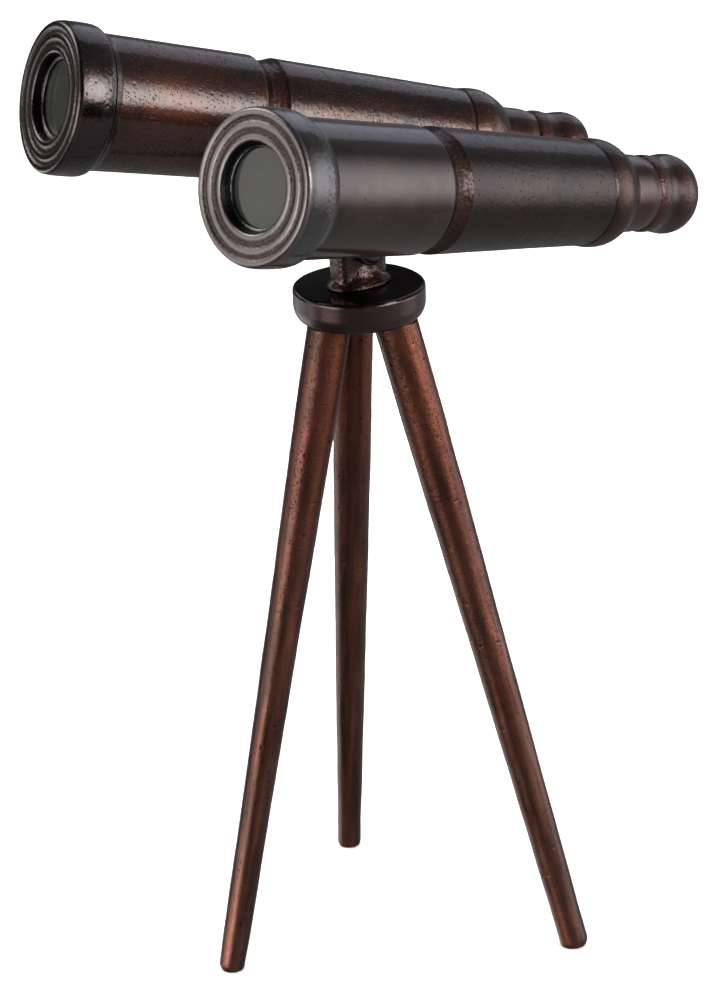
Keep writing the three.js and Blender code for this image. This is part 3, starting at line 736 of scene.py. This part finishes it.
def draw_tube(hand, axis, seed):
    """Neck that slides in the rear tube and narrows to the eyecup."""
    node = f"{hand}_draw_tube"
    first, last, radius = axis.span(node)
    outside = [
        (first, radius), (last - 15, radius, 2), (last - 10, 19.0, 3), (last - 5.5, 18.5, 3),
        (last - 1.5, 18.8, 1), (last, 18.1, 0.2),
    ]
    inside = [(last, 15.2), (last + 11, 15.2), (last + 11, 13.0), (last - 6, 13.0), (last - 12, 17.0),
              (first, 17.0)]
    surface = turned(axis, outside, inside, step=0.6, sides=240)
    station = surface.local[:, 2]
    surface.rough = 0.4 * near(station, last, 5)
    surface.wear = 0.10 * between(station, last - 14, last - 2, 3)
    surface.cast(seed, 0.10, 0.05, pits=0.04, depth=0.3, spacing=3.5, sizes=(0.35, 0.8))
    surface.piece(f"{hand}_neck", CUP_SKIN, node, "bronze_patina")


def eyecup(hand, axis, seed):
    """Waisted cup with a domed end and a round eye opening."""
    node = f"{hand}_eyecup"
    first, last, radius = axis.span(node)
    bore = 15.5
    outside = [
        (first, bore), (first, 17.9, 0.2), (first + 2.6, 19.7, 1.4), (first + 6.5, 20.1, 2.5),
        (first + 12.5, 19.2, 4), (first + 18, 20.3, 3), (first + 23, radius, 3), (first + 28.5, 19.6, 3),
        (first + 32.3, 16.6, 2), (last, 13.3, 0.8), (last - 0.6, 11.6, 0.8), (last - 5.8, 8.6, 0.6),
    ]
    inside = [(last - 12.8, 8.6), (last - 12.8, 12.3), (first + 12, 12.3), (first + 12, bore)]
    surface = turned(axis, outside, inside, step=0.5, sides=260)
    station = surface.local[:, 2]
    surface.rough = between(station, first + 1, first + 9) + between(station, first + 18, first + 24)
    surface.edge *= 0.1
    # The two raised bands take copper partly as rubbed wear and partly as painted highlight.
    surface.wear = 0.34 * between(station, first + 2, first + 8) + 0.34 * near(station, first + 22, 4)
    surface.rough = np.clip(surface.rough, 0, 1)
    surface.cast(seed, 0.12, 0.12, pits=0.08, depth=0.3, spacing=2.6, sizes=(0.3, 0.7))
    surface.piece(f"{hand}_cup", CUP_SKIN, node, "bronze_patina")


def objective_glass(hand, axis):
    node = f"{hand}_objective_glass"
    first, last, radius = axis.span(node)
    front = first + 0.6              # the pane sits a little back in its seat
    corners = [(front, 0), (front, radius - 0.3, 0.1), (front + 0.3, radius), (last - 0.3, radius),
               (last, radius - 0.3), (last, 0)]
    surface = turned(axis, corners, step=3.0, sides=160)
    surface.piece(f"{hand}_lens_front", GLASS, node, "glass")


def eye_lens(hand, axis):
    node = f"{hand}_eye_lens"
    first, last, radius = axis.span(node)
    rings = [(first + 1.2, 0, 0), (first + 0.8, radius * 0.5, 3), (first, radius - 0.2, 0.2),
             (first + 0.2, radius, 0.1), (last - 0.2, radius, 0.1), (last, radius - 0.2, 0.2),
             (last - 0.8, radius * 0.5, 3), (last - 1.1, 0, 0)]
    surface = turned(axis, rings, step=0.8, sides=96)
    surface.piece(f"{hand}_lens_eye", GLASS, node, "glass")


for number, (hand, axis) in enumerate(BARRELS.items()):
    base = 100 * (number + 1)
    objective_rim(hand, axis, base + 1)
    front_tube(hand, axis, base + 2)
    rear_tube(hand, axis, base + 3)
    draw_tube(hand, axis, base + 4)
    eyecup(hand, axis, base + 5)
    objective_glass(hand, axis)
    eye_lens(hand, axis)


# ---------- tripod ----------
def disc():
    """Round disc under the post. Gives back the height of its underside."""
    low, high, radius = PAN.span("tripod_disc")
    outside = [
        (low, 7.0, 0.3), (low, radius - 2.8, 2.6), (low + 5, radius - 0.1, 3.6), (high - 1.2, radius, 1.2),
        (high, radius - 1.1, 0.8), (high, 3.3, 0.2),
    ]
    inside = [(high - 9, 3.3), (low + 6, 3.3), (low + 6, 7.0)]
    surface = turned(PAN, outside, inside, step=0.55, sides=380)
    station, across = surface.local[:, 2], np.hypot(surface.local[:, 0], surface.local[:, 1])
    side = between(station, low - 3, high - 1.4, 0.8) * between(across, radius - 8, radius + 5)
    surface.wear = 0.42 * side
    surface.rough = 0.45 * between(across, 12, 21, 6) * between(station, high - 1, high + 1)
    surface.cast(901, wave=0.30, grain=0.06, pits=0.02, depth=0.3, spacing=5, sizes=(0.4, 0.8))
    surface.piece("disc_casting", DISC_SKIN, "tripod_disc", "black_lacquer")
    return low


def leg(name, disc_low, seed):
    """Straight tapered leg from its foot up to the disc's underside."""
    foot = mount_point(f"foot_{name}")
    top = node_points(f"leg_stud_{name}").mean(axis=0)
    axis = Axis(foot, top - foot, up=(0, 1, 0))
    node = f"leg_{name}"
    local = axis.to_local(node_points(node))
    radii = np.hypot(local[:, 0], local[:, 1])
    foot_radius = radii[local[:, 2] < 12].max()
    top_radius = radii[local[:, 2] > local[:, 2].max() - 30].max()
    ceiling = disc_low - 0.3
    length = (ceiling - foot[2]) / axis.along[2]
    rise = np.array([axis.across[2], axis.up[2]]) / axis.along[2]
    taper = top_radius - foot_radius

    def follow_disc(points):
        """Tips the leg's top into the plane of the disc's underside."""
        share = np.clip((points[:, 2] - length + 40) / 40, 0, 1)
        points = points.copy()
        points[:, 2] -= share * (points[:, :2] @ rise)
        return points

    swell = [(length * t, foot_radius + taper * t + 0.25 * math.sin(5.3 * t + seed), 20)
             for t in (0.06, 0.25, 0.5, 0.75, 0.93)]
    corners = [(-1.5, 0), (-1.5, foot_radius - 2.2, 1.6), (1.6, foot_radius - 0.1, 1.4), *swell,
               (length, top_radius, 0), (length, 3.3, 0), (length - 14, 3.3, 0), (length - 14, 0)]
    surface = turned(axis, corners, step=0.9, sides=84, shift=follow_disc)
    height = surface.local[:, 2] / length
    surface.rough = np.clip((height - 0.35) / 0.5, 0.15, 1.0)
    worn = np.clip(0.5 + fractal(surface.local / 30, seed, 3), 0, 1)
    surface.wear = 0.25 * np.clip(height, 0, 1) * worn
    surface.cast(seed, wave=0.28, grain=0.10, pits=0.24, depth=0.35, spacing=2.6, sizes=(0.35, 0.8))
    surface.points[:, 2] = np.clip(surface.points[:, 2], 0, ceiling)
    surface.piece(f"{name}_leg", LEG_SKIN, node, "leg_patina")


disc_underside = disc()
for number, leg_name in enumerate(LEG_NAMES):
    leg(leg_name, disc_underside, 700 + 20 * number)


# ---------- head castings ----------
BORE_CLEAR = 4.2        # radius round a bolt's axis that takes no relief


def casting(node, name, material, voxel, seed, rounds=3, rough=0.5, wear=0.1, bores=(), **relief):
    """A cast piece with relief everywhere but in its bolt bores, which stay clear of the bolts."""
    surface = recast(node, voxel, rounds)
    base = surface.points[:, 2].min()
    # Each casting's lowest millimetres are set to a full hollow, which paints them near black: painted
    # shade where it stands on the part below.
    surface.edge = 0.3 * surface.edge - 0.9 * between(surface.points[:, 2], base - 5, base + 1.6, 1.4)
    surface.rough = np.full(len(surface.points), rough)
    surface.wear = np.full(len(surface.points), wear)
    plain = surface.points
    surface.cast(seed, **relief)
    for axis in bores:
        away = np.hypot(*axis.to_local(plain)[:, :2].T)
        share = np.clip(away - BORE_CLEAR, 0, 1)[:, None]
        surface.points = plain + (surface.points - plain) * share
    surface.piece(name, material, node, "bronze_patina")


casting("post", "post_casting", POST_SKIN, 0.45, 801, rounds=14, rough=0.8, wear=0.12,
        bores=(PAN, TILT),
        wave=0.35, grain=0.14, pits=0.10, depth=0.3, spacing=2.2, sizes=(0.3, 0.7))
casting("bridge", "bridge_casting", POST_SKIN, 0.6, 811, rough=0.6, wear=0.15, bores=(TILT,),
        wave=0.12, grain=0.08, pits=0.08, depth=0.3, spacing=2.4, sizes=(0.3, 0.7))
for number, hand in enumerate(HANDS):
    casting(f"{hand}_saddle", f"{hand}_saddle_casting", POST_SKIN, 0.6, 821 + number,
            rough=0.6, wear=0.1, wave=0.12, grain=0.08, pits=0.06, depth=0.3, spacing=2.4, sizes=(0.3, 0.7))


# ---------- CAD nodes that keep their own mesh ----------
def kept_material(node):
    if "guide_ring" in node:
        return FELT
    if "retainer" in node or "ring" in node:
        return BRASS
    return STEEL


BROKEN_EDGE = 0.15
BROKEN_EDGE_FROM = 35        # degrees between the faces

for node, thing in frame["nodes"].items():
    if not thing.hide_render:
        thing.data.materials.clear()
        thing.data.materials.append(kept_material(node))
        bevel = thing.modifiers.new("Broken edges", "BEVEL")
        bevel.width = BROKEN_EDGE * MM
        bevel.segments = 2
        bevel.limit_method = "ANGLE"
        bevel.angle_limit = math.radians(BROKEN_EDGE_FROM)


# ---------- studio ----------
FLOOR_HALF_SIDE = 9.0        # metres, as are the overhead light's numbers
FLOOR_DROP = 0.0002          # keeps the floor just under the feet
LIGHT_SIDE = 16.0
LIGHT_WATTS = 1290
LIGHT_PLACE = (0.2, -0.2, 4.0)


def floor():
    size = FLOOR_HALF_SIDE
    mesh = bpy.data.meshes.new("floor")
    corners = [(-size, -size, 0), (size, -size, 0), (size, size, 0), (-size, size, 0)]
    mesh.from_pydata(corners, [], [(0, 1, 2, 3)])
    n = Nodes("pale_floor")
    mesh.materials.append(n.set(base_color=(0.90, 0.90, 0.90), roughness=0.9))
    made = bpy.data.objects.new("floor", mesh)
    bpy.context.scene.collection.objects.link(made)
    made.location.z = -FLOOR_DROP
    made.visible_glossy = False


def heading(azimuth, elevation):
    """Unit vector towards a compass angle from +X and a height above the horizon, in degrees."""
    azimuth, elevation = math.radians(azimuth), math.radians(elevation)
    return Vector((math.cos(azimuth) * math.cos(elevation), math.sin(azimuth) * math.cos(elevation),
                   math.sin(elevation)))


def overhead_light():
    """Lights the floor. The metal mirrors the soft walls instead, so it doesn't mirror this."""
    light = bpy.data.lights.new("overhead", "AREA")
    light.shape = "SQUARE"
    light.size = LIGHT_SIDE
    light.energy = LIGHT_WATTS
    made = bpy.data.objects.new("overhead", light)
    made.location = LIGHT_PLACE
    made.visible_camera = False
    made.visible_glossy = False
    bpy.context.scene.collection.objects.link(made)


# Soft walls of light round the object: direction, half width and half height in degrees,
# how much of the half size is the soft edge, brightness and colour.
SOFT_WALLS = {
    "side_high": ((22, 20), 19, 19, 0.85, 10.5, (1.0, 0.97, 0.94)),
    "side_low": ((62, 3), 24, 24, 0.9, 3.2, (1.0, 0.98, 1.0)),
    "front": ((-88, 2), 23, 24, 0.6, 5.0, (1.0, 0.97, 0.95)),
    "face": ((-124, -2), 15, 24, 0.5, 1.6, (1.0, 0.98, 0.97)),
    "back": ((126, 32), 16, 25, 0.15, 0.75, (0.80, 0.83, 1.0)),
    "rear": ((203, 38), 28, 23, 0.8, 4.5, (1.0, 0.98, 0.96)),
    "rear_low": ((203, -29), 30, 15, 0.8, 1.4, (1.0, 0.98, 0.96)),
}
WALL_SQUARENESS = 3          # 2 makes an oval wall, and more a squarer one
SKY = (0.20, 0.195, 0.205)
GROUND = (0.40, 0.385, 0.385)
HORIZON = 0.2                # half the height, as a sine, over which ground turns to sky


def brighter_towards(tree, view, azimuth, low, high, least, colour):
    """A colour that is full towards one side and fades to a share of itself on the other."""
    dot = tree.nodes.new("ShaderNodeVectorMath")
    dot.operation = "DOT_PRODUCT"
    tree.links.new(view, dot.inputs[0])
    dot.inputs[1].default_value = heading(azimuth, 0)
    share = tree.nodes.new("ShaderNodeMapRange")
    tree.links.new(dot.outputs["Value"], share.inputs["Value"])
    for name, value in (("From Min", low), ("From Max", high), ("To Min", least), ("To Max", 1)):
        share.inputs[name].default_value = value
    shaded = tree.nodes.new("ShaderNodeVectorMath")
    shaded.operation = "SCALE"
    shaded.inputs[0].default_value = colour
    tree.links.new(share.outputs[0], shaded.inputs["Scale"])
    return shaded.outputs["Vector"]


def soft_wall(tree, view, place, half_width, half_height, soft, brightness, colour):
    """A brightness over the sky that is full in the middle of the wall and fades at its edge."""
    def node(kind, operation):
        made = tree.nodes.new(kind)
        made.operation = operation
        return made

    centre = heading(*place)
    level = Vector((0, 0, 1)).cross(centre).normalized()
    powers = []
    for axis, half in ((level, half_width), (centre.cross(level), half_height)):
        dot = node("ShaderNodeVectorMath", "DOT_PRODUCT")
        tree.links.new(view, dot.inputs[0])
        dot.inputs[1].default_value = axis / math.sin(math.radians(half))
        size = node("ShaderNodeMath", "ABSOLUTE")
        tree.links.new(dot.outputs["Value"], size.inputs[0])
        power = node("ShaderNodeMath", "POWER")
        tree.links.new(size.outputs[0], power.inputs[0])
        power.inputs[1].default_value = WALL_SQUARENESS
        powers.append(power.outputs[0])
    total = node("ShaderNodeMath", "ADD")
    tree.links.new(powers[0], total.inputs[0])
    tree.links.new(powers[1], total.inputs[1])
    root = node("ShaderNodeMath", "POWER")
    tree.links.new(total.outputs[0], root.inputs[0])
    root.inputs[1].default_value = 1 / WALL_SQUARENESS
    fade = tree.nodes.new("ShaderNodeMapRange")
    fade.interpolation_type = "SMOOTHSTEP"
    tree.links.new(root.outputs[0], fade.inputs["Value"])
    fade.inputs["From Min"].default_value = 1 - soft
    fade.inputs["From Max"].default_value = 1 + 0.3 * soft
    fade.inputs["To Min"].default_value = brightness
    fade.inputs["To Max"].default_value = 0
    front = node("ShaderNodeVectorMath", "DOT_PRODUCT")
    tree.links.new(view, front.inputs[0])
    front.inputs[1].default_value = centre
    ahead = node("ShaderNodeMath", "GREATER_THAN")
    tree.links.new(front.outputs["Value"], ahead.inputs[0])
    ahead.inputs[1].default_value = 0
    seen = node("ShaderNodeMath", "MULTIPLY")
    tree.links.new(fade.outputs[0], seen.inputs[0])
    tree.links.new(ahead.outputs[0], seen.inputs[1])
    tinted = node("ShaderNodeVectorMath", "SCALE")
    tinted.inputs[0].default_value = colour
    tree.links.new(seen.outputs[0], tinted.inputs["Scale"])
    return tinted.outputs["Vector"]


def studio():
    """Sky, ground and soft walls for the metal to mirror. Straight behind the object all is white."""
    world = bpy.data.worlds.new("studio")
    world.use_nodes = True
    tree = world.node_tree
    view = tree.nodes.new("ShaderNodeTexCoord").outputs["Generated"]
    height = tree.nodes.new("ShaderNodeSeparateXYZ")
    tree.links.new(view, height.inputs[0])
    rise = tree.nodes.new("ShaderNodeMapRange")
    tree.links.new(height.outputs["Z"], rise.inputs["Value"])
    rise.inputs["From Min"].default_value = -HORIZON
    rise.inputs["From Max"].default_value = HORIZON
    blend = tree.nodes.new("ShaderNodeMix")
    blend.data_type = "VECTOR"
    tree.links.new(rise.outputs[0], blend.inputs["Factor"])
    tree.links.new(brighter_towards(tree, view, 40, -0.95, 0.9, 0.12, GROUND), blend.inputs[4])
    tree.links.new(brighter_towards(tree, view, 60, 0.0, 0.7, 0.15, SKY), blend.inputs[5])
    light = blend.outputs[1]
    for wall in SOFT_WALLS.values():
        add = tree.nodes.new("ShaderNodeVectorMath")
        add.operation = "ADD"
        tree.links.new(soft_wall(tree, view, *wall), add.inputs[0])
        tree.links.new(light, add.inputs[1])
        light = add.outputs["Vector"]
    direct = tree.nodes.new("ShaderNodeLightPath").outputs["Is Camera Ray"]
    seen = tree.nodes.new("ShaderNodeMix")
    seen.data_type = "VECTOR"
    tree.links.new(direct, seen.inputs["Factor"])
    tree.links.new(light, seen.inputs[4])
    seen.inputs[5].default_value = (1, 1, 1)
    tree.links.new(seen.outputs[1], tree.nodes["Background"].inputs["Color"])
    bpy.context.scene.world = world
    overhead_light()
    bpy.context.scene.view_settings.view_transform = "Standard"


def camera():
    data = bpy.data.cameras.new("camera")
    data.lens = CAMERA_LENS
    data.sensor_fit = "AUTO"
    data.sensor_width = SENSOR
    data.clip_start, data.clip_end = 0.1, 60
    made = bpy.data.objects.new("camera", data)
    out = heading(CAMERA_AZIMUTH, CAMERA_ELEVATION)
    level = Vector((0, 0, 1)).cross(out).normalized()
    upright = out.cross(level)
    roll = math.radians(CAMERA_ROLL)
    right = level * math.cos(roll) - upright * math.sin(roll)
    up = out.cross(right)
    turn = Matrix((right, up, out)).transposed()
    place = Vector(CAMERA_TARGET) + out * CAMERA_DISTANCE
    made.matrix_world = Matrix.Translation(place) @ turn.to_4x4()
    bpy.context.scene.collection.objects.link(made)
    bpy.context.scene.camera = made


floor()
studio()
camera()
